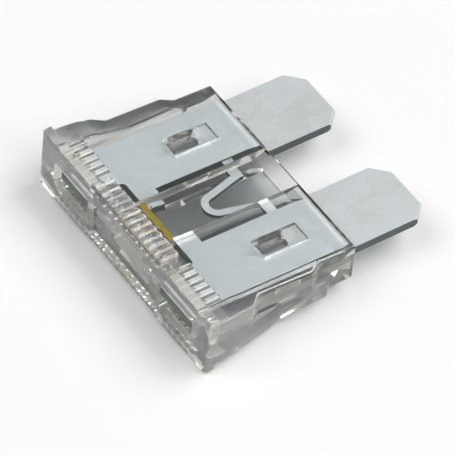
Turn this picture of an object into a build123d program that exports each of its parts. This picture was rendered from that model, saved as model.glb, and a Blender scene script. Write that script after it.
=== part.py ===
from build123d import *
import os

# A clear blade fuse with a blown-fuse indicator, lying on its broad face.
# X runs across the two blades, Y runs from the head to the blade tips and Z is up.
# Lengths are in millimetres. A value named "from_head" is a distance from the head's end face along Y.

# Overall sizes of the fuse
overall_width = 19.1
overall_length = 18.7
grip_crest_half = 2.5
housing_length = 12.1

# Blades and link, stamped from one zinc strip
blade_width = 5.2
blade_gap = 4.4
blade_thickness = 0.65
tip_chamfer = 1.0
tip_bevel = 0.15
inner_relief = 0.45
relief_past_seat = 0.65
root_from_head = 9.7
root_width = 0.75
link_width = 0.5
link_thickness = 0.3
link_root_half = 1.45
link_apex_radius = 0.8
link_apex_from_head = 6.4
tab_width = 3.4
tab_from_head = 0.3
notch_radius = 0.3
lug_reach = 1.5
lug_end_from_head = 4.2
stake_offset = 5.05
stake_width = 0.85
stake_length = 2.0
stake_from_head = 7.85

# Outer form of the housing
side_wall_half = 8.72
skirt_half = 8.22
shoulder_half = 9.3
head_edge_radius = 0.35
upper_bend_radius = 0.5
lower_bend_radius = 0.3
head_straight = 1.3
shoulder_start = 3.5
upper_shoulder_end = 4.35
upper_step_start = 8.5
upper_step_end = 9.3
lower_shoulder_end = 6.3
lower_step_start = 9.85
lower_step_end = 10.25
head_face_half = 2.0
head_slope_start = 2.5
head_slope_end = 3.15
body_half = 1.86
seat_half = 1.45
body_edge_radius = 0.22

# Rims, ribs and the ribbed grip pad on the head
rim_half = 2.35
rim_length = 0.75
rim_edge_radius = 0.12
pad_half_width = 3.95
pad_start = 0.2
pad_end = 1.6
pad_bar_radius = 0.35
pad_rib_count = 11
pad_rib_radius = 0.3
pad_rib_crest_half = 2.47
side_rib_count = 6
side_rib_pitch = 0.6
side_rib_radius = 0.26
side_rib_crest_half = 2.24
side_rib_centre = 6.25
side_rib_end = 1.95

# Openings in the housing
slot_clearance = 0.06
slot_side_clearance = 0.15
slot_mouth_half = 0.85
slot_mouth_length = 0.9
cavity_half_width = 1.85
cavity_half_height = 1.15
well_width = 3.9
well_half_height = 0.95
well_centre = 5.9
well_corner = 0.3
well_from_head = 1.4
dished_half_width = 3.3
dished_half_height = 1.2
dished_depth = 0.15
pocket_width = 1.6
pocket_length = 3.4
pocket_from_head = 8.5
pocket_depth = 0.25
punch_floor_half = 1.15
punch_floor_width = 0.45
punch_floor_length = 1.6
punch_corner = 0.15
punch_draft = 22.0
peg_clearance = 0.03

# Indicator board with its lamp and resistor
board_half_width = 1.75
board_half_height = 0.95
board_thickness = 0.5
board_from_head = 2.25
chamber_half_width = 1.6
chamber_half_height = 0.75
chamber_from_head = 1.35
part_pitch = 1.3
part_lift = 0.2
pad_copper = 0.035
copper_size = 0.5
copper_pitch = 0.6
lamp_length = 1.0
lamp_width = 0.6
lamp_base_height = 0.2
lens_length = 0.6
lens_height = 0.22
lens_draft = 8.0
terminal_length = 0.2
resistor_length = 1.0
resistor_width = 0.5
resistor_height = 0.32
cap_length = 0.22
solder_leg = 0.35

# Places that follow from the driving sizes
top_y = -overall_length / 2
tip_y = overall_length / 2
seat_y = top_y + housing_length
head_half_width = overall_width / 2
blade_inner = blade_gap / 2
blade_outer = blade_inner + blade_width
relief_x = blade_inner + inner_relief
tab_inner = blade_outer - tab_width
shoulder_y = top_y + board_from_head + board_thickness
root_y = top_y + root_from_head
slot_half = blade_thickness / 2 + slot_clearance
slot_reach = blade_outer + slot_side_clearance
pad_bar_centre = pad_half_width - pad_bar_radius
pad_rib_pitch = 2 * (pad_bar_centre - pad_bar_radius - pad_rib_radius) / (pad_rib_count - 1)
middle = Plane.XY.offset(grip_crest_half)
side_view = Plane((0, 0, grip_crest_half), x_dir=(0, 1, 0), z_dir=(1, 0, 0))


def across(distance_from_head):
    """A plane across the fuse at a distance from the head's end face, facing the head."""
    return Plane((0, top_y + distance_from_head, grip_crest_half), x_dir=(1, 0, 0), z_dir=(0, -1, 0))


def right_half(shoulder_end, step_start, step_end):
    """The points of one mould half's outline, from the head to the open end, right of the middle."""
    return [
        (0, top_y),
        (head_half_width, top_y),
        (head_half_width, top_y + head_straight),
        (shoulder_half, top_y + shoulder_start),
        (side_wall_half, top_y + shoulder_end),
        (side_wall_half, top_y + step_start),
        (skirt_half, top_y + step_end),
        (skirt_half, seat_y),
        (0, seat_y),
    ]


def is_head_corner(corner):
    """True for an outline's corner at the end of the head's end face."""
    return corner.Y < top_y + rim_length / 2 and abs(corner.X) > pad_half_width


def is_side_corner(corner):
    """True for an outline's corner between the head's end face and the open end."""
    return top_y + rim_length < corner.Y < seat_y - slot_mouth_length


def is_side_edge(edge):
    """True for an edge beside the blades that is off the parting line."""
    centre = edge.center()
    return abs(centre.X) > blade_outer and abs(centre.Z - grip_crest_half) > body_edge_radius


# The grip pad stands on both broad faces of the head, between the rims: fine ribs between two end bars.
with BuildPart() as grip_pad:
    with BuildSketch(across(pad_end)):
        Rectangle(2 * pad_half_width, 2 * (grip_crest_half - pad_bar_radius))
        with GridLocations(2 * pad_bar_centre, 2 * (grip_crest_half - pad_bar_radius), 2, 2):
            Circle(pad_bar_radius)
        with GridLocations(pad_rib_pitch, 2 * (pad_rib_crest_half - pad_rib_radius), pad_rib_count, 2):
            Circle(pad_rib_radius)
    extrude(amount=pad_end - pad_start)
    with BuildSketch(middle) as pad_plan:
        with Locations((0, top_y + (pad_start + pad_end) / 2)):
            pad_rectangle = Rectangle(2 * pad_half_width, pad_end - pad_start)
        fillet(pad_rectangle.vertices().group_by(Axis.Y)[-1], pad_bar_radius)
    extrude(amount=grip_crest_half, both=True, mode=Mode.INTERSECT)

# The housing is one clear moulding with a parting line at mid height.
with BuildPart() as housing:
    with BuildSketch(middle) as upper_outline:
        with BuildLine():
            Polyline(right_half(upper_shoulder_end, upper_step_start, upper_step_end))
            mirror(about=Plane.YZ)
        make_face()
        fillet(upper_outline.vertices().filter_by(is_head_corner), head_edge_radius)
        fillet(upper_outline.vertices().filter_by(is_side_corner), upper_bend_radius)
    extrude(amount=rim_half)
    with BuildSketch(middle) as lower_outline:
        with BuildLine():
            Polyline(right_half(lower_shoulder_end, lower_step_start, lower_step_end))
            mirror(about=Plane.YZ)
        make_face()
        fillet(lower_outline.vertices().filter_by(is_head_corner), head_edge_radius)
        fillet(lower_outline.vertices().filter_by(is_side_corner), lower_bend_radius)
    extrude(amount=-rim_half)

    # The broad faces fall from the rim to the head face and then taper to the open end.
    with BuildSketch(side_view) as side_profile:
        with BuildLine():
            upper_profile = Polyline(
                (top_y, 0),
                (top_y, rim_half),
                (top_y + rim_length, rim_half),
                (top_y + rim_length, head_face_half),
                (top_y + head_slope_start, head_face_half),
                (top_y + head_slope_end, body_half),
                (seat_y, seat_half),
                (seat_y, 0),
            )
            mirror(upper_profile, about=Plane.XZ)
        make_face()
    extrude(amount=head_half_width, both=True, mode=Mode.INTERSECT)

    # The long edges are rounded from behind the rims to the open end.
    side_edges = housing.edges().filter_by(is_side_edge).filter_by(Axis.Z, reverse=True)
    long_edges = side_edges.filter_by_position(Axis.Y, top_y + rim_length, seat_y, (False, False))
    fillet(long_edges, body_edge_radius)
    edge_levels = housing.edges().group_by(Axis.Z)
    fillet(edge_levels[0] + edge_levels[-1], rim_edge_radius)

    # The rims stop at the middle of the head, where the grip pad takes their place.
    with BuildSketch(across(rim_length)):
        for side in (-1, 1):
            with Locations((0, side * rim_half)):
                Rectangle(2 * pad_half_width, 2 * (rim_half - head_face_half))
    extrude(amount=rim_length, mode=Mode.SUBTRACT)
    add(grip_pad.part)

    # Fine ribs behind each rim
    with BuildSketch(across(side_rib_end)):
        with GridLocations(2 * side_rib_centre, 2 * (side_rib_crest_half - side_rib_radius), 2, 2):
            with GridLocations(side_rib_pitch, 0, side_rib_count, 1):
                Circle(side_rib_radius)
    extrude(amount=side_rib_end - rim_length)

    # The slot that takes the element, with a flared mouth at the open end
    with BuildSketch(middle):
        with Locations((0, (top_y + well_from_head + seat_y) / 2)):
            Rectangle(2 * slot_reach, housing_length - well_from_head)
    extrude(amount=slot_half, both=True, mode=Mode.SUBTRACT)
    with BuildSketch(side_view):
        with BuildLine():
            Polyline(
                (seat_y - slot_mouth_length, 0),
                (seat_y - slot_mouth_length, slot_half),
                (seat_y, slot_mouth_half),
                (seat_y, -slot_mouth_half),
                (seat_y - slot_mouth_length, -slot_half),
                (seat_y - slot_mouth_length, 0),
            )
        make_face()
    extrude(amount=slot_reach, both=True, mode=Mode.SUBTRACT)

    # The window cavity around the link, and the chamber for the lamp and the resistor beyond the board
    with BuildSketch(across(housing_length)):
        Rectangle(2 * cavity_half_width, 2 * cavity_half_height)
    extrude(amount=housing_length - board_from_head, mode=Mode.SUBTRACT)
    with BuildSketch(across(board_from_head)):
        Rectangle(2 * chamber_half_width, 2 * chamber_half_height)
    extrude(amount=board_from_head - chamber_from_head, mode=Mode.SUBTRACT)

    # A well over each blade lets a probe touch it, and the end face is dished between the wells.
    with BuildSketch(across(well_from_head)):
        with Locations((-well_centre, 0), (well_centre, 0)):
            RectangleRounded(well_width, 2 * well_half_height, well_corner)
    extrude(amount=well_from_head, mode=Mode.SUBTRACT)
    with BuildSketch(across(dished_depth)):
        RectangleRounded(2 * dished_half_width, 2 * dished_half_height, well_corner)
    extrude(amount=dished_depth, mode=Mode.SUBTRACT)

    # A pocket above and below each blade gives the staked plastic room.
    with BuildSketch(middle):
        with Locations((0, top_y + pocket_from_head)), GridLocations(2 * stake_offset, 0, 2, 1):
            Rectangle(pocket_width, pocket_length)
    extrude(amount=slot_half + pocket_depth, both=True, mode=Mode.SUBTRACT)

    # A staked peg fills the hole in each blade, under a punch mark in both broad faces.
    with BuildSketch(middle):
        with Locations((0, top_y + stake_from_head)), GridLocations(2 * stake_offset, 0, 2, 1):
            Rectangle(stake_width - 2 * peg_clearance, stake_length)
    extrude(amount=slot_half + pocket_depth, both=True)
    for side in (-1, 1):
        with BuildSketch(middle.offset(side * punch_floor_half)):
            with Locations((0, top_y + stake_from_head)), GridLocations(2 * stake_offset, 0, 2, 1):
                RectangleRounded(punch_floor_width, punch_floor_length, punch_corner)
        extrude(amount=side * (rim_half - punch_floor_half), taper=-punch_draft, mode=Mode.SUBTRACT)

# The element is one zinc stamping: two blades joined by the loop that melts.
with BuildPart() as fuse_element:
    with BuildSketch(middle) as blade_plan:
        with BuildLine():
            Polyline(
                (relief_x, seat_y + relief_past_seat),
                (blade_inner, seat_y + relief_past_seat),
                (blade_inner, tip_y - tip_chamfer),
                (blade_inner + tip_chamfer, tip_y),
                (blade_outer - tip_chamfer, tip_y),
                (blade_outer, tip_y - tip_chamfer),
                (blade_outer, top_y + tab_from_head),
                (tab_inner, top_y + tab_from_head),
                (tab_inner, shoulder_y),
                (lug_reach, shoulder_y),
                (lug_reach, top_y + lug_end_from_head),
                (relief_x, top_y + lug_end_from_head),
                close=True,
            )
        make_face()
        notch_corner = blade_plan.vertices().sort_by_distance((tab_inner, shoulder_y, grip_crest_half))[0]
        fillet(notch_corner, notch_radius)
        with Locations((stake_offset, top_y + stake_from_head)):
            Rectangle(stake_width, stake_length, mode=Mode.SUBTRACT)
        mirror(about=Plane.YZ)
    extrude(amount=blade_thickness / 2, both=True)
    flat_edges = fuse_element.edges().filter_by(Plane.XY)
    chamfer(flat_edges.filter_by_position(Axis.Y, tip_y - tip_chamfer, tip_y, (False, True)), tip_bevel)

    # The loop runs from one blade's root towards the head, round its apex and back to the other root.
    with BuildSketch(middle) as link_plan:
        with BuildLine() as link_line:
            apex_y = root_y - (root_from_head - link_apex_from_head)
            left_leg = Line((-link_root_half, root_y), (-link_apex_radius, apex_y + link_apex_radius))
            apex = ThreePointArc(left_leg @ 1, (0, apex_y), (link_apex_radius, apex_y + link_apex_radius))
            right_leg = Line(apex @ 1, (link_root_half, root_y))
        trace(link_line.wire(), line_width=link_width)
        with Locations((-(link_root_half + relief_x) / 2, root_y), ((link_root_half + relief_x) / 2, root_y)):
            Rectangle(relief_x - link_root_half + link_width, root_width)
    extrude(amount=link_thickness / 2, both=True)

# The indicator board stands on edge across the cavity, against the chamber's shoulder.
with BuildPart() as indicator_board:
    with BuildSketch(across(board_from_head + board_thickness)):
        Rectangle(2 * board_half_width, 2 * board_half_height)
    extrude(amount=board_thickness)

with BuildPart() as board_pads:
    with BuildSketch(across(board_from_head)):
        for place in (-part_pitch / 2, part_pitch / 2):
            with Locations((place, part_lift)):
                with GridLocations(copper_pitch, 0, 2, 1):
                    Rectangle(copper_size, copper_size)
    extrude(amount=pad_copper)

# Lamp: a flat base with two end terminals and a lens
with BuildPart() as lamp_base:
    with BuildSketch(across(board_from_head - pad_copper)):
        with Locations((-part_pitch / 2, part_lift)):
            Rectangle(lamp_length - 2 * terminal_length, lamp_width)
    extrude(amount=lamp_base_height)

with BuildPart() as lamp_lens:
    with BuildSketch(across(board_from_head - pad_copper - lamp_base_height)):
        with Locations((-part_pitch / 2, part_lift)):
            Rectangle(lens_length, lamp_width)
    extrude(amount=lens_height, taper=lens_draft)

with BuildPart() as lamp_terminals:
    with BuildSketch(across(board_from_head - pad_copper)):
        with Locations((-part_pitch / 2, part_lift)):
            with GridLocations(lamp_length - terminal_length, 0, 2, 1):
                Rectangle(terminal_length, lamp_width)
    extrude(amount=lamp_base_height)

# Resistor: a ceramic body between two metal end caps
with BuildPart() as resistor_body:
    with BuildSketch(across(board_from_head - pad_copper)):
        with Locations((part_pitch / 2, part_lift)):
            Rectangle(resistor_length - 2 * cap_length, resistor_width)
    extrude(amount=resistor_height)

with BuildPart() as resistor_caps:
    with BuildSketch(across(board_from_head - pad_copper)):
        with Locations((part_pitch / 2, part_lift)):
            with GridLocations(resistor_length - cap_length, 0, 2, 1):
                Rectangle(cap_length, resistor_width)
    extrude(amount=resistor_height)

# A solder fillet above and below each lug ties it to the back of the board.
with BuildPart() as solder_joints:
    with BuildSketch(side_view.offset(lug_reach)):
        with BuildLine():
            Polyline(
                (shoulder_y, blade_thickness / 2),
                (shoulder_y + solder_leg, blade_thickness / 2),
                (shoulder_y, blade_thickness / 2 + solder_leg),
                close=True,
            )
        make_face()
        mirror(about=Plane.XZ)
    extrude(amount=board_half_width - lug_reach)
    mirror(about=Plane.YZ)

pieces = {
    "housing": housing,
    "fuse_element": fuse_element,
    "indicator_board": indicator_board,
    "board_pads": board_pads,
    "lamp_base": lamp_base,
    "lamp_lens": lamp_lens,
    "lamp_terminals": lamp_terminals,
    "resistor_body": resistor_body,
    "resistor_caps": resistor_caps,
    "solder_joints": solder_joints,
}

os.makedirs("parts", exist_ok=True)
for piece_name, piece in pieces.items():
    piece.part.label = piece_name
    export_step(piece.part, f"parts/{piece_name}.step")
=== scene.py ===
"""A clear blade fuse with a blown-fuse lamp.

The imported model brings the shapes. This script adds the finishes, two small formed pieces, the
camera, the floor and the light.
"""

import logging
import math
from abc import ABC, abstractmethod
from collections.abc import Sequence
from dataclasses import dataclass
from enum import Enum
from typing import ClassVar

import bmesh
import bpy
from mathutils import Matrix, Vector


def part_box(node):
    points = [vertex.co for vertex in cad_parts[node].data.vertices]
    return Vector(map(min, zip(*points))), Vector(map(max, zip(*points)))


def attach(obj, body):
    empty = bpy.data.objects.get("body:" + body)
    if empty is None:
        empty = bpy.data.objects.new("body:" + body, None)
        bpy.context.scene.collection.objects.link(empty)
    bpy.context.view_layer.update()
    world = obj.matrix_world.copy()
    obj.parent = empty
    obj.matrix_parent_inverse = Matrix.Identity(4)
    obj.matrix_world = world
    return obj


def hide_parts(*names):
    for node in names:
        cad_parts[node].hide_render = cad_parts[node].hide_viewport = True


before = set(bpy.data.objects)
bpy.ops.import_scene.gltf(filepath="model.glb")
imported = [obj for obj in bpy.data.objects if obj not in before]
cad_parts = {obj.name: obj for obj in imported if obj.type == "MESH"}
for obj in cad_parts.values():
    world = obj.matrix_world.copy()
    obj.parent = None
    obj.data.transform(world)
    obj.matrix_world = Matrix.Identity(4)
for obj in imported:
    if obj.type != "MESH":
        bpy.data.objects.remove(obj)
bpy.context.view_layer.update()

MM = 0.001
BODY = "root"
# A Mix node's colour sockets stand at these places, behind those of its other kinds.
MIX_FIRST, MIX_SECOND, MIX_RESULT = 6, 7, 2
log = logging.getLogger("fuse")

Colour = tuple[float, float, float, float]
Point = tuple[float, float, float]
Source = bpy.types.NodeSocket | float | Colour | Point


def rgb(red: float, green: float, blue: float) -> Colour:
    """Returns an opaque colour."""
    return (red, green, blue, 1.0)


WHITE = rgb(1.0, 1.0, 1.0)


class Slot(Enum):
    """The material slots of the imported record."""

    CLEAR_PLASTIC = "clear_plastic"
    ZINC = "zinc"
    LAMINATE = "board_laminate"
    COPPER = "copper"
    LAMP_WHITE = "lamp_white"
    LAMP_AMBER = "lamp_amber"
    TINNED = "tinned_metal"
    RESISTOR = "resistor_dark"
    SOLDER = "solder"


class Effect(Enum):
    """The shader groups that several finishes share."""

    MOULDED = "moulded_surface"
    METAL = "metal_surface"
    SPECKLE = "fine_speckle"


class Kind(Enum):
    """What a group's socket carries."""

    NUMBER = "NodeSocketFloat"
    COLOUR = "NodeSocketColor"


class NodeTree:
    """Adds nodes to a material's, a group's or the world's tree, and joins them."""

    def __init__(self, tree: bpy.types.NodeTree) -> None:
        """Keeps the tree that is worked on."""
        self.tree = tree

    def add(
        self, kind: str, values: dict[str, Source] | None = None, **settings: object
    ) -> bpy.types.Node:
        """Adds a node.

        Args:
            kind: The node's type name.
            values: What its inputs get, by name.
            settings: The node's own attributes.

        Returns:
            The new node.
        """
        node = self.tree.nodes.new(kind)
        for name, value in settings.items():
            setattr(node, name, value)
        for name, value in (values or {}).items():
            self.feed(node.inputs[name], value)
        return node

    def feed(self, target: bpy.types.NodeSocket, source: Source) -> None:
        """Joins a socket to an input, or sets the input to a value.

        Args:
            target: The input.
            source: The socket or the value.
        """
        if isinstance(source, bpy.types.NodeSocket):
            self.tree.links.new(source, target)
        else:
            target.default_value = source

    def maths(self, operation: str, *operands: Source) -> bpy.types.NodeSocket:
        """Works on numbers.

        Args:
            operation: Blender's name of the operation.
            operands: The numbers or sockets that it works on.

        Returns:
            The result's socket.
        """
        node = self.add("ShaderNodeMath", operation=operation)
        for target, operand in zip(node.inputs, operands):
            self.feed(target, operand)
        return node.outputs[0]

    def product(self, first: Source, *others: Source) -> bpy.types.NodeSocket:
        """Multiplies numbers.

        Args:
            first: The first number or socket.
            others: The other ones.

        Returns:
            The product's socket.
        """
        result = first
        for factor in others:
            result = self.maths("MULTIPLY", result, factor)
        return result

    def larger(self, first: Source, second: Source) -> bpy.types.NodeSocket:
        """Returns the larger of two numbers."""
        return self.maths("MAXIMUM", first, second)

    def unsigned(self, value: Source) -> bpy.types.NodeSocket:
        """Returns a number without its sign."""
        return self.maths("ABSOLUTE", value)

    def spread(
        self, value: Source, start: float, end: float, low: Source = 0.0, high: Source = 1.0
    ) -> bpy.types.NodeSocket:
        """Maps a number between two marks to one between two others, without overshoot.

        Args:
            value: The number.
            start: Where the result is low.
            end: Where the result is high.
            low: The result at the start and before it.
            high: The result at the end and past it.

        Returns:
            The result's socket.
        """
        node = self.add(
            "ShaderNodeMapRange",
            {"Value": value, "From Min": start, "From Max": end, "To Min": low, "To Max": high},
            interpolation_type="SMOOTHSTEP",
        )
        return node.outputs["Result"]

    def mix(self, share: Source, first: Source, second: Source) -> bpy.types.NodeSocket:
        """Mixes two colours.

        Args:
            share: How much of the second colour there is.
            first: The first colour.
            second: The second colour.

        Returns:
            The mixed colour's socket.
        """
        node = self.add("ShaderNodeMix", {"Factor": share}, data_type="RGBA")
        self.feed(node.inputs[MIX_FIRST], first)
        self.feed(node.inputs[MIX_SECOND], second)
        return node.outputs[MIX_RESULT]

    def noise(self, place: Source, scale: Source, detail: float) -> bpy.types.NodeSocket:
        """Returns soft noise at a place."""
        values = {"Vector": place, "Scale": scale, "Detail": detail}
        return self.add("ShaderNodeTexNoise", values).outputs["Fac"]

    def split(self, vector: Source) -> bpy.types.NodeOutputs:
        """Returns the three parts of a vector."""
        return self.add("ShaderNodeSeparateXYZ", {"Vector": vector}).outputs

    def place(self) -> bpy.types.NodeSocket:
        """Returns the place on the object, in metres."""
        return self.add("ShaderNodeTexCoord").outputs["Object"]

    def facing(self) -> bpy.types.NodeOutputs:
        """Returns the three parts of the surface's direction."""
        return self.split(self.add("ShaderNodeNewGeometry").outputs["Normal"])


class NodeGroup(NodeTree):
    """A shader node group with named inputs and outputs, built once and placed in materials."""

    def __init__(self, effect: Effect, inputs: dict[str, Kind], outputs: dict[str, Kind]) -> None:
        """Makes the group and its sockets.

        Args:
            effect: Which shared effect this group is.
            inputs: What a material sets, by name.
            outputs: What a material reads, by name.
        """
        super().__init__(bpy.data.node_groups.new(effect.value, "ShaderNodeTree"))
        for direction, sockets in (("INPUT", inputs), ("OUTPUT", outputs)):
            for name, kind in sockets.items():
                self.tree.interface.new_socket(
                    name=name, in_out=direction, socket_type=kind.value
                )
        self.given = self.tree.nodes.new("NodeGroupInput").outputs
        self.results = self.tree.nodes.new("NodeGroupOutput").inputs

    def deliver(self, results: dict[str, Source]) -> None:
        """Joins what the group has worked out to its outputs, by name."""
        for name, source in results.items():
            self.feed(self.results[name], source)


@dataclass(frozen=True)
class MouldedSurface:
    """Polished moulded plastic: glossy on its flats, hazy on its walls and on the ribbed head."""

    # A wall is told from a broad face by how little it faces up or down.
    wall_start: float = 0.9
    wall_end: float = 0.4
    # The head's end face is a little clearer than the other walls.
    end_facing_start: float = 0.7
    end_facing_end: float = 0.95
    end_clear_from: float = 1.0 * MM
    end_clear_to: float = 0.5 * MM
    end_clearness: float = 0.2
    # The walls get glassier behind the head.
    haze_fades_from: float = 3.0 * MM
    haze_fades_to: float = 6.0 * MM
    body_haze: float = 0.4
    # The ribbed head is milky all round.
    head_clear_from: float = 1.75 * MM
    head_hazy_to: float = 1.45 * MM
    head_haze: float = 0.7
    # The polish varies a little, and the faces have a faint ripple.
    polish_start: float = 0.35
    polish_end: float = 0.7
    polish_detail: float = 3.0
    ripple_detail: float = 1.0
    # The lower broad face is painted greyer: painted shade that stands for the shadow on the floor
    # beneath, seen through the moulding.
    under_shade_from: float = 1.3 * MM
    under_shade_to: float = 1.1 * MM
    # The punch over each blade has crazed the plastic in and round its mark.
    mark_out: float = 5.05 * MM
    mark_from_head: float = 7.85 * MM
    mark_half_width: float = 0.85 * MM
    mark_half_length: float = 1.4 * MM
    mark_fade: float = 0.3 * MM
    craze_scale: float = 3000.0
    craze_detail: float = 2.0
    craze_start: float = 0.4
    craze_end: float = 0.6
    craze_least: float = 0.5

    def crazing(
        self, group: NodeGroup, place: Source, spot: bpy.types.NodeOutputs, head: float
    ) -> bpy.types.NodeSocket:
        """Masks the crazed plastic in and round the two punch marks.

        Args:
            group: The group that is being built.
            place: The place on the object.
            spot: The place's three parts.
            head: Where the head's end face is along Y.

        Returns:
            The mask's socket.
        """
        out = group.maths("SUBTRACT", group.unsigned(spot["X"]), self.mark_out)
        down = group.maths("SUBTRACT", spot["Y"], head + self.mark_from_head)
        across, along = (
            group.spread(group.unsigned(offset), half, half - self.mark_fade)
            for offset, half in ((out, self.mark_half_width), (down, self.mark_half_length))
        )
        noise = group.noise(place, self.craze_scale, self.craze_detail)
        craze = group.spread(noise, self.craze_start, self.craze_end, self.craze_least)
        return group.product(across, along, craze)

    def hazy_walls(
        self, group: NodeGroup, wall: Source, endward: Source, along: Source, head: float
    ) -> bpy.types.NodeSocket:
        """Works out how hazy the walls are.

        Args:
            group: The group that is being built.
            wall: The mask of the walls.
            endward: How much the surface faces along Y.
            along: The place along Y.
            head: Where the head's end face is along Y.

        Returns:
            The haze's socket.
        """
        faces_end = group.spread(
            group.unsigned(endward), self.end_facing_start, self.end_facing_end
        )
        at_end = group.spread(along, head + self.end_clear_from, head + self.end_clear_to)
        clearer = group.product(faces_end, at_end, self.end_clearness)
        fade = group.spread(
            along, head + self.haze_fades_from, head + self.haze_fades_to, 1.0, self.body_haze
        )
        return group.product(wall, group.maths("SUBTRACT", 1.0, clearer), fade)

    def build(self, head: float) -> NodeGroup:
        """Builds the group.

        Args:
            head: Where the head's end face is along Y.

        Returns:
            The group.
        """
        inputs = {"Ripple Scale": Kind.NUMBER, "Haze Scale": Kind.NUMBER}
        inputs |= {"Smoothest": Kind.NUMBER, "Haziest": Kind.NUMBER, "Wall Haze": Kind.NUMBER}
        inputs |= {"Flat Tint": Kind.COLOUR, "Wall Tint": Kind.COLOUR, "Under Tint": Kind.COLOUR}
        outputs = {"Color": Kind.COLOUR, "Roughness": Kind.NUMBER}
        outputs |= {"Bloom": Kind.NUMBER, "Height": Kind.NUMBER}
        group = NodeGroup(Effect.MOULDED, inputs, outputs)
        given = group.given
        place = group.place()
        spot = group.split(place)
        facing = group.facing()
        wall = group.spread(group.unsigned(facing["Z"]), self.wall_start, self.wall_end)
        walls = self.hazy_walls(group, wall, facing["Y"], spot["Y"], head)
        hazy = group.larger(walls, self.crazing(group, place, spot, head))
        milky = group.spread(
            spot["Y"], head + self.head_clear_from, head + self.head_hazy_to, high=self.head_haze
        )
        # Painted shade: low down, the flat faces take the greyer tint of the lower face.
        under = group.spread(spot["Z"], self.under_shade_from, self.under_shade_to)
        flat = group.mix(under, given["Flat Tint"], given["Under Tint"])
        fine = group.noise(place, given["Haze Scale"], self.polish_detail)
        polish = group.spread(
            fine, self.polish_start, self.polish_end, given["Smoothest"], given["Haziest"]
        )
        group.deliver(
            {
                "Color": group.mix(group.larger(wall, milky), flat, given["Wall Tint"]),
                "Roughness": group.maths("MULTIPLY_ADD", hazy, given["Wall Haze"], polish),
                "Bloom": group.larger(hazy, milky),
                "Height": group.noise(place, given["Ripple Scale"], self.ripple_detail),
            }
        )
        return group


@dataclass(frozen=True)
class MetalSurface:
    """Rolled or plated metal: a fine grain, dull patches, upright faces painted dark as a painted
    reflection, and painted light that keeps the part under the moulding brighter than the bare
    part.
    """

    grain_stretch: Point = (1.0, 0.25, 1.0)
    grain_detail: float = 3.0
    patch_scale: float = 500.0
    patch_detail: float = 2.0
    grain_share: float = 0.5
    dull_start: float = 0.38
    dull_end: float = 0.62
    # Faces that stand upright are painted darker, a painted reflection of the dark surroundings.
    side_shade_start: float = 0.55
    side_shade_end: float = 0.15
    # The metal under the moulding is painted brighter than the bare part, as painted light; the
    # step between them is this soft.
    painted_light_fade: float = 0.1 * MM

    def build(self, painted_light_ends_at: float) -> NodeGroup:
        """Builds the group.

        Args:
            painted_light_ends_at: Where the bare part begins along Y; before it, under the
                moulding, the metal keeps a colour painted brighter as painted light.

        Returns:
            The group.
        """
        inputs = {"Face Colour": Kind.COLOUR, "Dull Colour": Kind.COLOUR}
        inputs |= {"Cut Colour": Kind.COLOUR, "Handled Shade": Kind.NUMBER}
        inputs |= {"Grain Scale": Kind.NUMBER, "Smoothest": Kind.NUMBER, "Roughest": Kind.NUMBER}
        outputs = {"Color": Kind.COLOUR, "Roughness": Kind.NUMBER, "Height": Kind.NUMBER}
        group = NodeGroup(Effect.METAL, inputs, outputs)
        given = group.given
        place = group.place()
        drawn = group.add("ShaderNodeMapping", {"Vector": place, "Scale": self.grain_stretch})
        grain = group.noise(drawn.outputs["Vector"], given["Grain Scale"], self.grain_detail)
        patch = group.noise(place, self.patch_scale, self.patch_detail)
        worn = group.product(group.maths("ADD", grain, patch), self.grain_share)
        dull = group.spread(worn, self.dull_start, self.dull_end)
        face = group.mix(dull, given["Face Colour"], given["Dull Colour"])
        # Painted reflection: upright faces take the darker side colour.
        side_shade_mask = group.spread(
            group.unsigned(group.facing()["Z"]), self.side_shade_start, self.side_shade_end
        )
        along = group.split(place)["Y"]
        # Painted light: under the moulding the metal keeps its bright colour, and past the seat it
        # is toned down to the bare share.
        shade = group.spread(
            along, painted_light_ends_at - self.painted_light_fade, painted_light_ends_at, 1.0, given["Handled Shade"]
        )
        painted_light_and_shade = group.add("ShaderNodeVectorMath", operation="SCALE")
        group.feed(painted_light_and_shade.inputs["Vector"], group.mix(side_shade_mask, face, given["Cut Colour"]))
        group.feed(painted_light_and_shade.inputs["Scale"], shade)
        rough = group.spread(
            worn, self.dull_start, self.dull_end, given["Smoothest"], given["Roughest"]
        )
        group.deliver({"Color": painted_light_and_shade.outputs["Vector"], "Roughness": rough, "Height": worn})
        return group


@dataclass(frozen=True)
class SpeckleSurface:
    """The fine mottle of laminate, ceramic and cast resin."""

    mottle_start: float = 0.35
    mottle_end: float = 0.65
    mottle_detail: float = 2.0

    def build(self) -> NodeGroup:
        """Builds the group.

        Returns:
            The group.
        """
        inputs = {"First Colour": Kind.COLOUR, "Second Colour": Kind.COLOUR}
        inputs |= {"Scale": Kind.NUMBER, "Smoothest": Kind.NUMBER, "Roughest": Kind.NUMBER}
        outputs = {"Color": Kind.COLOUR, "Roughness": Kind.NUMBER, "Height": Kind.NUMBER}
        group = NodeGroup(Effect.SPECKLE, inputs, outputs)
        given = group.given
        mottle = group.noise(group.place(), given["Scale"], self.mottle_detail)
        share = group.spread(mottle, self.mottle_start, self.mottle_end)
        colour = group.mix(share, given["First Colour"], given["Second Colour"])
        rough = group.spread(
            mottle, self.mottle_start, self.mottle_end, given["Smoothest"], given["Roughest"]
        )
        group.deliver({"Color": colour, "Roughness": rough, "Height": mottle})
        return group


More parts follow.
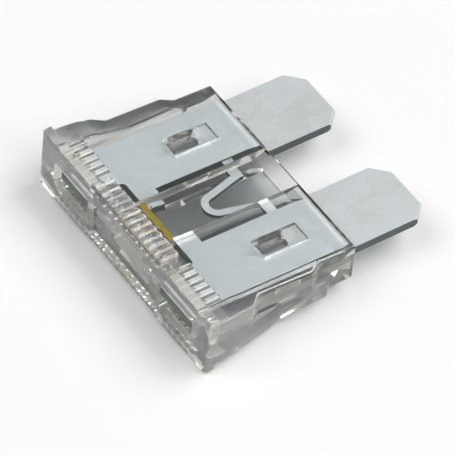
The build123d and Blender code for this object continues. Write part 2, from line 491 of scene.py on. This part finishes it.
@dataclass(frozen=True)
class Finish(ABC):
    """What every finish has: a name, the record's slot, and how deep its relief is."""

    effect: ClassVar[Effect]

    name: str
    slot: Slot
    relief: float = 0.3
    depth: float = 0.004 * MM

    @abstractmethod
    def values(self) -> dict[str, Source]:
        """Returns the effect's values, by input name."""

    def complete(self, work: NodeTree, shader: bpy.types.Node, surface: bpy.types.Node) -> None:
        """Sets what is this finish's own on the shader, which is nothing unless it says so."""

    def build(self, groups: dict[Effect, NodeGroup]) -> bpy.types.Material:
        """Makes the material.

        Args:
            groups: The shared effects.

        Returns:
            The material.
        """
        material = bpy.data.materials.new(self.name)
        material.use_nodes = True
        work = NodeTree(material.node_tree)
        shader = material.node_tree.nodes["Principled BSDF"]
        surface = work.add("ShaderNodeGroup", node_tree=groups[self.effect].tree)
        for name, value in self.values().items():
            work.feed(surface.inputs[name], value)
        bump = work.add("ShaderNodeBump", {"Strength": self.relief, "Distance": self.depth})
        work.feed(bump.inputs["Height"], surface.outputs["Height"])
        work.feed(shader.inputs["Normal"], bump.outputs["Normal"])
        work.feed(shader.inputs["Roughness"], surface.outputs["Roughness"])
        work.feed(shader.inputs["Base Color"], surface.outputs["Color"])
        self.complete(work, shader, surface)
        return material


@dataclass(frozen=True)
class ClearPlastic(Finish):
    """Clear moulded plastic, grey where it is thick, with painted shade on its lower broad face,
    and milky on its walls.
    """

    effect: ClassVar[Effect] = Effect.MOULDED

    flat_tint: Colour = rgb(0.965, 0.98, 0.985)
    wall_tint: Colour = rgb(0.99, 0.975, 0.885)
    # Painted shade for the lower broad face.
    painted_under_shade: Colour = rgb(0.7, 0.72, 0.72)
    refraction: float = 1.52
    transmission: float = 1.0
    smoothest: float = 0.01
    haziest: float = 0.05
    wall_haze: float = 0.15
    ripple_scale: float = 700.0
    haze_scale: float = 2500.0
    bloom_roughness: float = 0.6
    bloom_refraction: float = 2.7
    sheen: float = 0.1
    absorbed: Colour = rgb(0.8, 0.815, 0.81)
    absorption: float = 75.0

    def values(self) -> dict[str, Source]:
        """Returns the moulded surface's values."""
        return {
            "Ripple Scale": self.ripple_scale,
            "Haze Scale": self.haze_scale,
            "Smoothest": self.smoothest,
            "Haziest": self.haziest,
            "Wall Haze": self.wall_haze,
            "Flat Tint": self.flat_tint,
            "Wall Tint": self.wall_tint,
            "Under Tint": self.painted_under_shade,
        }

    def complete(self, work: NodeTree, shader: bpy.types.Node, surface: bpy.types.Node) -> None:
        """Makes the plastic clear, with a milky bloom on its walls and a grey depth.

        Args:
            work: The material's tree.
            shader: The material's shader.
            surface: The shared effect's node.
        """
        # The bloom lies on the outside alone: light on its way out meets clear plastic.
        inside = work.add("ShaderNodeNewGeometry").outputs["Backfacing"]
        bloom = work.product(surface.outputs["Bloom"], work.maths("SUBTRACT", 1.0, inside))
        own = {
            "IOR": self.refraction,
            "Transmission Weight": self.transmission,
            "Coat Weight": bloom,
            "Coat Roughness": self.bloom_roughness,
            "Coat IOR": self.bloom_refraction,
            "Sheen Weight": self.sheen,
        }
        for name, source in own.items():
            work.feed(shader.inputs[name], source)
        soaked = {"Color": self.absorbed, "Density": self.absorption}
        soak = work.add("ShaderNodeVolumeAbsorption", soaked)
        work.feed(work.tree.nodes["Material Output"].inputs["Volume"], soak.outputs["Volume"])


@dataclass(frozen=True)
class SheetMetal(Finish):
    """Rolled, plated or melted metal."""

    effect: ClassVar[Effect] = Effect.METAL

    face: Colour = rgb(0.7, 0.72, 0.73)
    dull: Colour = rgb(0.6, 0.62, 0.63)
    # Painted dark reflection on the upright faces.
    side_shade: Colour = rgb(0.2, 0.22, 0.21)
    metallic: float = 1.0
    grain_scale: float = 9000.0
    smoothest: float = 0.3
    roughest: float = 0.5
    # The share of the colour that the bare part keeps: the rest is painted light under the
    # moulding.
    bare_share_of_painted_light: float = 1.0

    def values(self) -> dict[str, Source]:
        """Returns the metal surface's values."""
        return {
            "Face Colour": self.face,
            "Dull Colour": self.dull,
            "Cut Colour": self.side_shade,
            "Grain Scale": self.grain_scale,
            "Smoothest": self.smoothest,
            "Roughest": self.roughest,
            "Handled Shade": self.bare_share_of_painted_light,
        }

    def complete(self, work: NodeTree, shader: bpy.types.Node, surface: bpy.types.Node) -> None:
        """Sets how metallic the surface is."""
        work.feed(shader.inputs["Metallic"], self.metallic)


@dataclass(frozen=True)
class CastResin(Finish):
    """Ceramic or resin with a fine mottle."""

    effect: ClassVar[Effect] = Effect.SPECKLE

    first: Colour = rgb(0.5, 0.5, 0.5)
    second: Colour = rgb(0.4, 0.4, 0.4)
    scale: float = 4000.0
    smoothest: float = 0.35
    roughest: float = 0.6

    def values(self) -> dict[str, Source]:
        """Returns the speckled surface's values."""
        return {
            "First Colour": self.first,
            "Second Colour": self.second,
            "Scale": self.scale,
            "Smoothest": self.smoothest,
            "Roughest": self.roughest,
        }


@dataclass(frozen=True)
class Laminate(CastResin):
    """Board laminate, browned by the iron near its soldered ends."""

    browned: Colour = rgb(0.5, 0.3, 0.012)
    browned_share: float = 0.8
    browning_start: float = 0.2 * MM
    browning_end: float = 1.3 * MM

    def complete(self, work: NodeTree, shader: bpy.types.Node, surface: bpy.types.Node) -> None:
        """Mixes the browned colour in towards the board's two ends.

        Args:
            work: The material's tree.
            shader: The material's shader.
            surface: The shared effect's node.
        """
        out = work.unsigned(work.split(work.place())["X"])
        share = work.spread(out, self.browning_start, self.browning_end, high=self.browned_share)
        colour = work.mix(share, surface.outputs["Color"], self.browned)
        work.feed(shader.inputs["Base Color"], colour)


CLEAR_PLASTIC = ClearPlastic("clear_plastic", Slot.CLEAR_PLASTIC)
# The zinc is painted far brighter than zinc is, as painted light under the plastic, and its bare
# blades keep only a share of it; its upright faces are painted near black, a painted dark
# reflection.
ZINC = SheetMetal(
    "zinc_sheet",
    Slot.ZINC,
    face=rgb(0.95, 0.99, 1.0),
    dull=rgb(0.86, 0.92, 0.94),
    side_shade=rgb(0.14, 0.17, 0.16),
    metallic=0.5,
    smoothest=0.42,
    roughest=0.6,
    bare_share_of_painted_light=0.64,
)
LAMINATE = Laminate(
    "board_laminate",
    Slot.LAMINATE,
    first=rgb(0.44, 0.36, 0.01),
    second=rgb(0.36, 0.3, 0.01),
)
COPPER = SheetMetal(
    "copper_pad",
    Slot.COPPER,
    face=rgb(0.8, 0.45, 0.28),
    dull=rgb(0.62, 0.33, 0.2),
    side_shade=rgb(0.5, 0.27, 0.16),
)
LAMP_WHITE = CastResin(
    "lamp_white",
    Slot.LAMP_WHITE,
    first=rgb(0.85, 0.84, 0.78),
    second=rgb(0.75, 0.74, 0.68),
)
LAMP_AMBER = CastResin(
    "lamp_amber",
    Slot.LAMP_AMBER,
    first=rgb(0.9, 0.5, 0.05),
    second=rgb(0.8, 0.4, 0.03),
    smoothest=0.08,
    roughest=0.2,
)
TINNED = SheetMetal(
    "tinned_metal",
    Slot.TINNED,
    face=rgb(0.78, 0.78, 0.76),
    dull=rgb(0.66, 0.66, 0.64),
    side_shade=rgb(0.6, 0.6, 0.58),
)
RESISTOR_DARK = CastResin(
    "resistor_dark",
    Slot.RESISTOR,
    first=rgb(0.04, 0.04, 0.04),
    second=rgb(0.02, 0.02, 0.02),
)
SOLDER = SheetMetal(
    "solder",
    Slot.SOLDER,
    face=rgb(0.82, 0.82, 0.82),
    dull=rgb(0.68, 0.68, 0.68),
    side_shade=rgb(0.7, 0.7, 0.7),
    smoothest=0.15,
    roughest=0.35,
)


class Workshop:
    """Holds the built finishes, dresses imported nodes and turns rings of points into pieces."""

    crease: float = math.radians(40)

    def __init__(self, groups: dict[Effect, NodeGroup]) -> None:
        """Keeps the shared effects."""
        self.groups = groups
        self.made: dict[str, bpy.types.Material] = {}

    def material(self, finish: Finish) -> bpy.types.Material:
        """Finds a finish's material, and makes it at its first use.

        Args:
            finish: The finish.

        Returns:
            The material.
        """
        if finish.name not in self.made:
            self.made[finish.name] = finish.build(self.groups)
        return self.made[finish.name]

    def dress(self, node: str, finish: Finish) -> None:
        """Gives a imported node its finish.

        Args:
            node: The node's name.
            finish: What it wears.
        """
        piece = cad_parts[node]
        piece.data.materials.clear()
        piece.data.materials.append(self.material(finish))
        log.info("%s wears %s", node, finish.name)

    def form(
        self,
        name: str,
        lofts: Sequence[Sequence[Sequence[Point]]],
        finish: Finish,
        node: str,
    ) -> None:
        """Makes a piece of closed lofts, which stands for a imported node.

        Args:
            name: The new piece's name.
            lofts: Each loft's rings, all with as many points.
            finish: What the piece wears.
            node: The node that it stands for.
        """
        mesh = bpy.data.meshes.new(name)
        work = bmesh.new()
        for rings in lofts:
            laid = [[work.verts.new(point) for point in ring] for ring in rings]
            for near, far in zip(laid, laid[1:]):
                for index in range(len(near)):
                    work.faces.new((near[index - 1], near[index], far[index], far[index - 1]))
            work.faces.new(laid[0])
            work.faces.new(laid[-1])
        bmesh.ops.recalc_face_normals(work, faces=work.faces)
        work.to_mesh(mesh)
        work.free()
        mesh.shade_smooth()
        mesh.set_sharp_from_angle(angle=self.crease)
        mesh.materials.append(self.material(finish))
        piece = bpy.data.objects.new(name, mesh)
        bpy.context.collection.objects.link(piece)
        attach(piece, BODY)
        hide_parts(node)
        log.info("%s stands for %s in %s", name, node, finish.name)


@dataclass(frozen=True)
class Housing:
    """The clear moulding around the element."""

    node: str = "housing"
    plastic: ClearPlastic = CLEAR_PLASTIC

    def head_end(self) -> float:
        """Returns where the head's end face is along Y."""
        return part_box(self.node)[0].y

    def seat(self) -> float:
        """Returns where the blades come out along Y."""
        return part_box(self.node)[1].y

    def build(self, workshop: Workshop) -> None:
        """Dresses the moulding."""
        workshop.dress(self.node, self.plastic)


@dataclass(frozen=True)
class FuseElement:
    """The zinc stamping: two blades and the link between them."""

    node: str = "fuse_element"
    zinc: SheetMetal = ZINC

    def build(self, workshop: Workshop) -> None:
        """Dresses the stamping."""
        workshop.dress(self.node, self.zinc)


@dataclass(frozen=True)
class Lens:
    """The lamp's cast lens, a dome on a rounded square."""

    node: str = "lamp_lens"
    levels: int = 10
    points: int = 32
    squareness: float = 0.5
    fullness: float = 0.55

    def ring(self, level: int) -> list[Point]:
        """Works out one ring of the dome.

        Args:
            level: The ring's number, from the base.

        Returns:
            The ring's points.
        """
        low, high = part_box(self.node)
        middle = (low + high) / 2
        half = (high - low) / 2
        climb = level / (self.levels + 1) * math.pi / 2
        size = math.cos(climb) ** self.fullness
        top = high.y - (high.y - low.y) * math.sin(climb)
        ring = []
        for step in range(self.points):
            turn = 2 * math.pi * step / self.points
            across, upward = (
                math.copysign(abs(part) ** self.squareness, part)
                for part in (math.cos(turn), math.sin(turn))
            )
            ring.append((middle.x + across * size * half.x, top, middle.z + upward * size * half.z))
        return ring

    def build(self, workshop: Workshop) -> None:
        """Makes the dome."""
        rings = [self.ring(level) for level in range(self.levels + 1)]
        workshop.form("lamp_dome", [rings], LAMP_AMBER, self.node)


@dataclass(frozen=True)
class SolderFillets:
    """The four hollow fillets of solder between the board's back and the blades' lugs."""

    node: str = "solder_joints"
    lug_reach: float = 1.5 * MM
    blade_half: float = 0.325 * MM
    slices: int = 10
    steps: int = 10
    hollow: float = 0.6
    end_pull: float = 0.35
    end_pull_power: int = 3

    def ring(self, side: int, face: int, slice_number: int) -> list[Point]:
        """Works out one slice across a fillet.

        Args:
            side: -1 for the left blade, 1 for the right one.
            face: -1 below the lug, 1 above it.
            slice_number: The slice's number, from the lug's inner edge out.

        Returns:
            The slice's points.
        """
        low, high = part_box(self.node)
        share = slice_number / self.slices
        pulled = self.end_pull * abs(2 * share - 1) ** self.end_pull_power
        leg = (high.y - low.y) * (1 - pulled)
        across = side * (self.lug_reach + share * (high.x - self.lug_reach))
        level = (low.z + high.z) / 2 + face * self.blade_half
        ring = [(across, low.y, level)]
        for step in range(self.steps + 1):
            along = step / self.steps
            turn = along * math.pi / 2
            straight = (1 - along, along)
            round_in = (1 - math.sin(turn), 1 - math.cos(turn))
            back, up = (
                (1 - self.hollow) * flat + self.hollow * curved
                for flat, curved in zip(straight, round_in)
            )
            ring.append((across, low.y + leg * back, level + face * leg * up))
        return ring

    def build(self, workshop: Workshop) -> None:
        """Makes the four fillets.

        Args:
            workshop: What forms them.
        """
        lofts = [
            [self.ring(side, face, number) for number in range(self.slices + 1)]
            for side in (-1, 1)
            for face in (-1, 1)
        ]
        workshop.form("solder_fillets", lofts, SOLDER, self.node)


@dataclass(frozen=True)
class IndicatorBoard:
    """The board across the cavity, with its lamp, its resistor and their solder."""

    worn: tuple[tuple[str, Finish], ...] = (
        ("indicator_board", LAMINATE),
        ("board_pads", COPPER),
        ("lamp_base", LAMP_WHITE),
        ("lamp_terminals", TINNED),
        ("resistor_body", RESISTOR_DARK),
        ("resistor_caps", TINNED),
    )
    lens: Lens = Lens()
    solder: SolderFillets = SolderFillets()

    def build(self, workshop: Workshop) -> None:
        """Dresses the board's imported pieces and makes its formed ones.

        Args:
            workshop: What dresses and forms them.
        """
        for node, finish in self.worn:
            workshop.dress(node, finish)
        self.lens.build(workshop)
        self.solder.build(workshop)


@dataclass(frozen=True)
class PhotoCamera:
    """The photograph's camera, worked out from the edges of the blades and the housing."""

    azimuth: float = 50.05
    elevation: float = 46.44
    roll: float = 7.2
    distance: float = 289.949 * MM
    focal_pixels: float = 4532.525
    target_pixel: tuple[float, float] = (282.439, 178.854)
    target: Point = (0.0, 2.99 * MM, 2.5 * MM)
    frame_pixels: float = 455.0
    sensor: float = 36.0
    nearest: float = 29.0 * MM
    farthest: float = 29.0

    def build(self) -> None:
        """Makes the camera and aims it so that the target falls on its pixel."""
        turn, height, lean = (
            math.radians(angle) for angle in (self.azimuth, self.elevation, self.roll)
        )
        level = Vector((math.cos(turn), math.sin(turn), 0.0))
        outward = Vector((math.sin(turn), -math.cos(turn), 0.0))
        away = math.cos(height) * outward + Vector((0.0, 0.0, math.sin(height)))
        upright = away.cross(level)
        right = math.cos(lean) * level + math.sin(lean) * upright
        up = math.cos(lean) * upright - math.sin(lean) * level
        middle = self.frame_pixels / 2
        aside = (middle - self.target_pixel[0]) / self.focal_pixels
        above = (self.target_pixel[1] - middle) / self.focal_pixels
        back = (away - aside * right - above * up).normalized()
        up = (up - up.dot(back) * back).normalized()
        turned = Matrix((up.cross(back), up, back)).transposed().to_4x4()
        data = bpy.data.cameras.new("photo_camera")
        data.sensor_width = self.sensor
        data.lens = self.focal_pixels * self.sensor / self.frame_pixels
        data.clip_start = self.nearest
        data.clip_end = self.farthest
        camera = bpy.data.objects.new("photo_camera", data)
        bpy.context.collection.objects.link(camera)
        eye = Vector(self.target) + away * self.distance
        camera.matrix_world = Matrix.Translation(eye) @ turned
        bpy.context.scene.camera = camera
        log.info("camera at %.0f mm", self.distance / MM)


@dataclass(frozen=True)
class Lamp:
    """A soft square lamp that faces the fuse."""

    name: str
    place: Point
    power: float
    size: float = 0.5

    def build(self) -> None:
        """Makes the lamp."""
        data = bpy.data.lights.new(self.name, "AREA")
        data.shape = "SQUARE"
        data.size = self.size
        data.energy = self.power
        lamp = bpy.data.objects.new(self.name, data)
        bpy.context.collection.objects.link(lamp)
        lamp.location = self.place
        lamp.rotation_euler = (-lamp.location).to_track_quat("-Z", "Y").to_euler()


@dataclass(frozen=True)
class Studio:
    """The pale floor and the soft light, paler at the walls than overhead."""

    floor_half: float = 0.6
    floor_colour: Colour = rgb(0.76, 0.76, 0.76)
    floor_roughness: float = 0.9
    floor_gloss: float = 0.0
    wall_top: float = 0.04
    ceiling: float = 0.35
    wall_light: float = 1.0
    ceiling_light: float = 0.15
    lamps: tuple[Lamp, ...] = (
        Lamp("front_lamp", place=(-0.16, -0.4, 0.66), power=2.7),
        Lamp("side_lamp", place=(0.45, 0.1, 0.6), power=2.6),
        Lamp("back_lamp", place=(0.1, 0.42, 0.66), power=3.8),
    )

    def build(self) -> None:
        """Makes the floor, the world and the lamps."""
        self.build_floor()
        self.build_world()
        for lamp in self.lamps:
            lamp.build()
        log.info("studio with %d lamps", len(self.lamps))

    def build_floor(self) -> None:
        """Makes the matt pale floor."""
        half = self.floor_half
        corners = [(-half, -half, 0), (half, -half, 0), (half, half, 0), (-half, half, 0)]
        mesh = bpy.data.meshes.new("floor")
        mesh.from_pydata(corners, [], [tuple(range(len(corners)))])
        floor = bpy.data.objects.new("floor", mesh)
        bpy.context.collection.objects.link(floor)
        material = bpy.data.materials.new("pale_floor")
        material.use_nodes = True
        shader = material.node_tree.nodes["Principled BSDF"]
        shader.inputs["Base Color"].default_value = self.floor_colour
        shader.inputs["Roughness"].default_value = self.floor_roughness
        shader.inputs["Specular IOR Level"].default_value = self.floor_gloss
        mesh.materials.append(material)

    def build_world(self) -> None:
        """Makes the white world, which is bright at the walls and dim overhead."""
        world = bpy.data.worlds.new("studio")
        bpy.context.scene.world = world
        world.use_nodes = True
        work = NodeTree(world.node_tree)
        background = world.node_tree.nodes["Background"]
        work.feed(background.inputs["Color"], WHITE)
        height = work.split(work.add("ShaderNodeTexCoord").outputs["Generated"])["Z"]
        light = work.spread(
            height, self.wall_top, self.ceiling, self.wall_light, self.ceiling_light
        )
        work.feed(background.inputs["Strength"], light)


def main() -> None:
    """Builds the fuse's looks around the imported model."""
    logging.basicConfig(level=logging.INFO, format="%(name)s: %(message)s")
    bpy.context.scene.view_settings.view_transform = "Standard"
    PhotoCamera().build()
    Studio().build()
    housing = Housing()
    groups = {
        Effect.MOULDED: MouldedSurface().build(housing.head_end()),
        Effect.METAL: MetalSurface().build(housing.seat()),
        Effect.SPECKLE: SpeckleSurface().build(),
    }
    workshop = Workshop(groups)
    for assembly in (housing, FuseElement(), IndicatorBoard()):
        assembly.build(workshop)
        log.info("%s is done", type(assembly).__name__)


if __name__ == "__main__":
    main()
